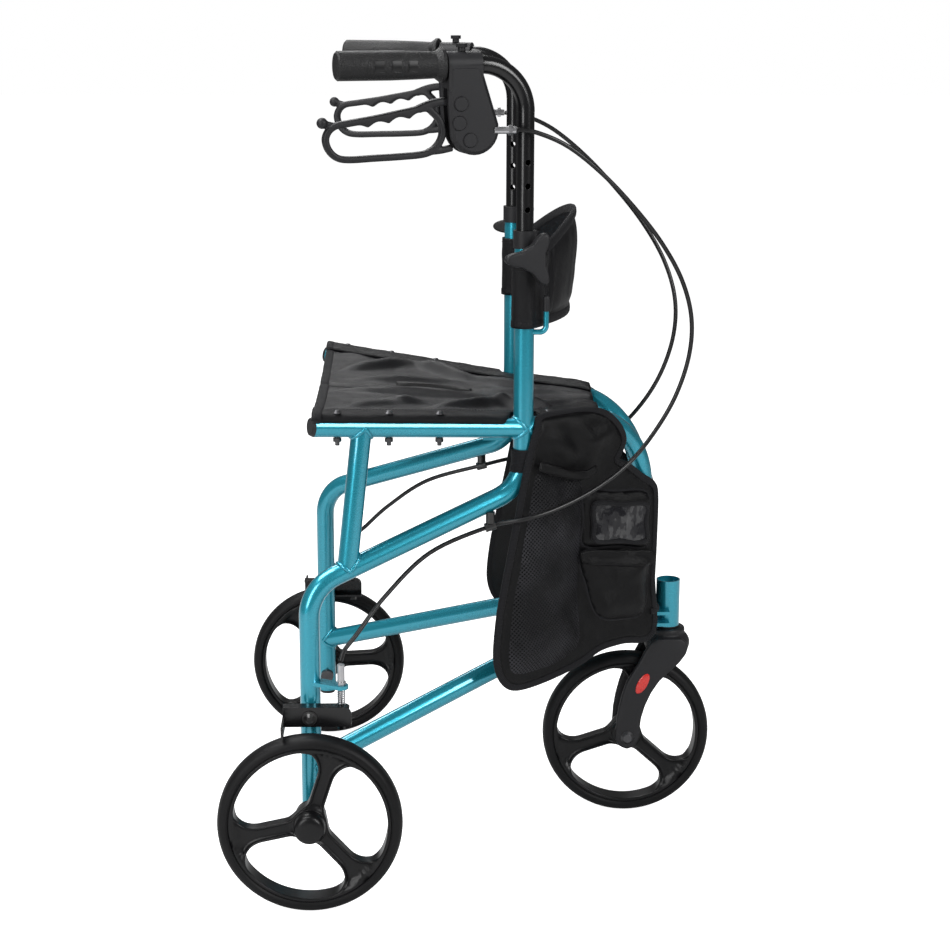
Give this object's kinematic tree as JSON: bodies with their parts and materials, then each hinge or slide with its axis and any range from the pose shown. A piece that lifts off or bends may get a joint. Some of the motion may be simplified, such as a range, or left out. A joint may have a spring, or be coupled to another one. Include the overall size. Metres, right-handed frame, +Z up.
{
  "type": "three wheel rollator",
  "caption": "Folding three wheel rollator with a teal tube frame, sling seat, backrest band, bag and loop brakes.",
  "frame": {"origin": "on the floor, midway between the rear axles and the front axle and between the rear wheels", "axes": "+X to the walker's front, +Z up, so the walker's right side is at -Y"},
  "size_m": [0.568, 0.602, 0.919],
  "materials": {
    "frame_teal": "satin metallic",
    "tube_black": "satin",
    "plastic_black": "matte",
    "grip_black": "matte",
    "tyre_black": "matte",
    "cloth_black": "woven",
    "steel": "zinc plated",
    "reflector_red": "gloss"
  },
  "bodies": {
    "head": {"stem_tube": "frame_teal", "head_bracket": "frame_teal", "hinge_pins": "steel", "stem_bushes": "plastic_black", "seat_sling": "cloth_black", "backrest_band": "cloth_black", "storage_bag": "cloth_black"},
    "right_frame": {"right_main_tube": "frame_teal", "right_seat_rail": "frame_teal", "right_strut": "frame_teal", "right_front_tube": "frame_teal", "right_lower_tube": "frame_teal", "right_caps": "plastic_black", "right_seat_screws": "steel", "right_axle": "steel", "right_cable_fittings": "steel", "right_spring": "steel", "right_cable": "plastic_black"},
    "right_handle": {"right_handle_tube": "tube_black", "right_grip": "grip_black", "right_housing": "plastic_black", "right_housing_caps": "plastic_black", "right_barrel": "steel"},
    "right_lever_body": {"right_lever": "plastic_black"},
    "right_brake_body": {"right_brake_arm": "tube_black"},
    "right_knob_body": {"right_knob": "plastic_black"},
    "right_wheel": {"right_rim": "plastic_black", "right_tyre": "tyre_black", "right_bushes": "plastic_black"},
    "right_brace_body": {"right_brace": "steel"},
    "left_frame": {"left_main_tube": "frame_teal", "left_seat_rail": "frame_teal", "left_strut": "frame_teal", "left_front_tube": "frame_teal", "left_lower_tube": "frame_teal", "left_caps": "plastic_black", "left_seat_screws": "steel", "left_axle": "steel", "left_cable_fittings": "steel", "left_spring": "steel", "left_cable": "plastic_black"},
    "left_handle": {"left_handle_tube": "tube_black", "left_grip": "grip_black", "left_housing": "plastic_black", "left_housing_caps": "plastic_black", "left_barrel": "steel"},
    "left_lever_body": {"left_lever": "plastic_black"},
    "left_brake_body": {"left_brake_arm": "tube_black"},
    "left_knob_body": {"left_knob": "plastic_black"},
    "left_wheel": {"left_rim": "plastic_black", "left_tyre": "tyre_black", "left_bushes": "plastic_black"},
    "left_brace_body": {"left_brace": "steel"},
    "caster": {"fork": "plastic_black", "steerer": "steel", "front_axle": "steel", "fork_reflectors": "reflector_red"},
    "front_wheel": {"front_rim": "plastic_black", "front_tyre": "tyre_black", "front_bushes": "plastic_black"}
  },
  "joints": [
    {"name": "right_fold", "type": "hinge", "parent": "head", "child": "right_frame", "pos_m": [0.196, -0.024, 0.27], "axis": [0, 0, -1], "range_deg": [0, 24], "deforming": ["seat_sling", "backrest_band", "storage_bag"]},
    {"name": "right_brace_turn", "type": "hinge", "parent": "right_frame", "child": "right_brace_body", "pos_m": [0.01678, -0.11209, 0.4957], "axis": [0, 0, 1], "range_deg": [0, 61.1]},
    {"name": "right_height", "type": "slide", "parent": "right_frame", "child": "right_handle", "axis": [0, 0, 1], "range_m": [-0.0762, 0.0508], "deforming": ["right_cable"]},
    {"name": "right_squeeze", "type": "hinge", "parent": "right_handle", "child": "right_lever_body", "pos_m": [-0.02302, -0.14322, 0.857], "axis": [-0.2756, 0.9613, 0], "range_deg": [0, 13.02]},
    {"name": "right_brake", "type": "hinge", "parent": "right_frame", "child": "right_brake_body", "pos_m": [-0.184, -0.2472, 0.209], "axis": [0, -1, 0], "range_deg": [0, 5.8], "stiffness_Nm_per_rad": 2, "springref_deg": -6.88, "deforming": ["right_spring"]},
    {"name": "right_knob_turn", "type": "hinge", "parent": "right_frame", "child": "right_knob_body", "pos_m": [0.051, -0.122, 0.692], "axis": [0.2756, -0.9613, 0], "continuous": true},
    {"name": "right_roll", "type": "hinge", "parent": "right_frame", "child": "right_wheel", "pos_m": [-0.184, -0.275, 0.1], "axis": [0, 1, 0], "continuous": true},
    {"name": "left_fold", "type": "hinge", "parent": "head", "child": "left_frame", "pos_m": [0.196, 0.024, 0.27], "axis": [0, 0, 1], "range_deg": [0, 24]},
    {"name": "left_brace_turn", "type": "hinge", "parent": "left_frame", "child": "left_brace_body", "pos_m": [0.01678, 0.11209, 0.5], "axis": [0, 0, -1], "range_deg": [0, 61.1]},
    {"name": "left_height", "type": "slide", "parent": "left_frame", "child": "left_handle", "axis": [0, 0, 1], "range_m": [-0.0762, 0.0508], "deforming": ["left_cable"]},
    {"name": "left_squeeze", "type": "hinge", "parent": "left_handle", "child": "left_lever_body", "pos_m": [-0.02302, 0.14322, 0.857], "axis": [0.2756, 0.9613, 0], "range_deg": [0, 13.02]},
    {"name": "left_brake", "type": "hinge", "parent": "left_frame", "child": "left_brake_body", "pos_m": [-0.184, 0.2472, 0.209], "axis": [0, -1, 0], "range_deg": [0, 5.8], "stiffness_Nm_per_rad": 2, "springref_deg": -6.88, "deforming": ["left_spring"]},
    {"name": "left_knob_turn", "type": "hinge", "parent": "left_frame", "child": "left_knob_body", "pos_m": [0.051, 0.122, 0.692], "axis": [0.2756, 0.9613, 0], "continuous": true},
    {"name": "left_roll", "type": "hinge", "parent": "left_frame", "child": "left_wheel", "pos_m": [-0.184, 0.275, 0.1], "axis": [0, 1, 0], "continuous": true},
    {"name": "swivel", "type": "hinge", "parent": "head", "child": "caster", "pos_m": [0.232, 0, 0.24], "axis": [0, 0, 1], "continuous": true},
    {"name": "front_roll", "type": "hinge", "parent": "caster", "child": "front_wheel", "pos_m": [0.184, 0, 0.1], "axis": [0, 1, 0], "continuous": true}
  ],
  "couplings": [
    {"joint": "right_brace_turn", "follows": "right_fold", "ratio": 2.545},
    {"joint": "right_squeeze", "follows": "right_brake", "ratio": 2.2414},
    {"joint": "left_brace_turn", "follows": "right_fold", "ratio": 2.545},
    {"joint": "left_squeeze", "follows": "left_brake", "ratio": 2.2414},
    {"joint": "left_fold", "follows": "right_fold", "ratio": 1}
  ]
}
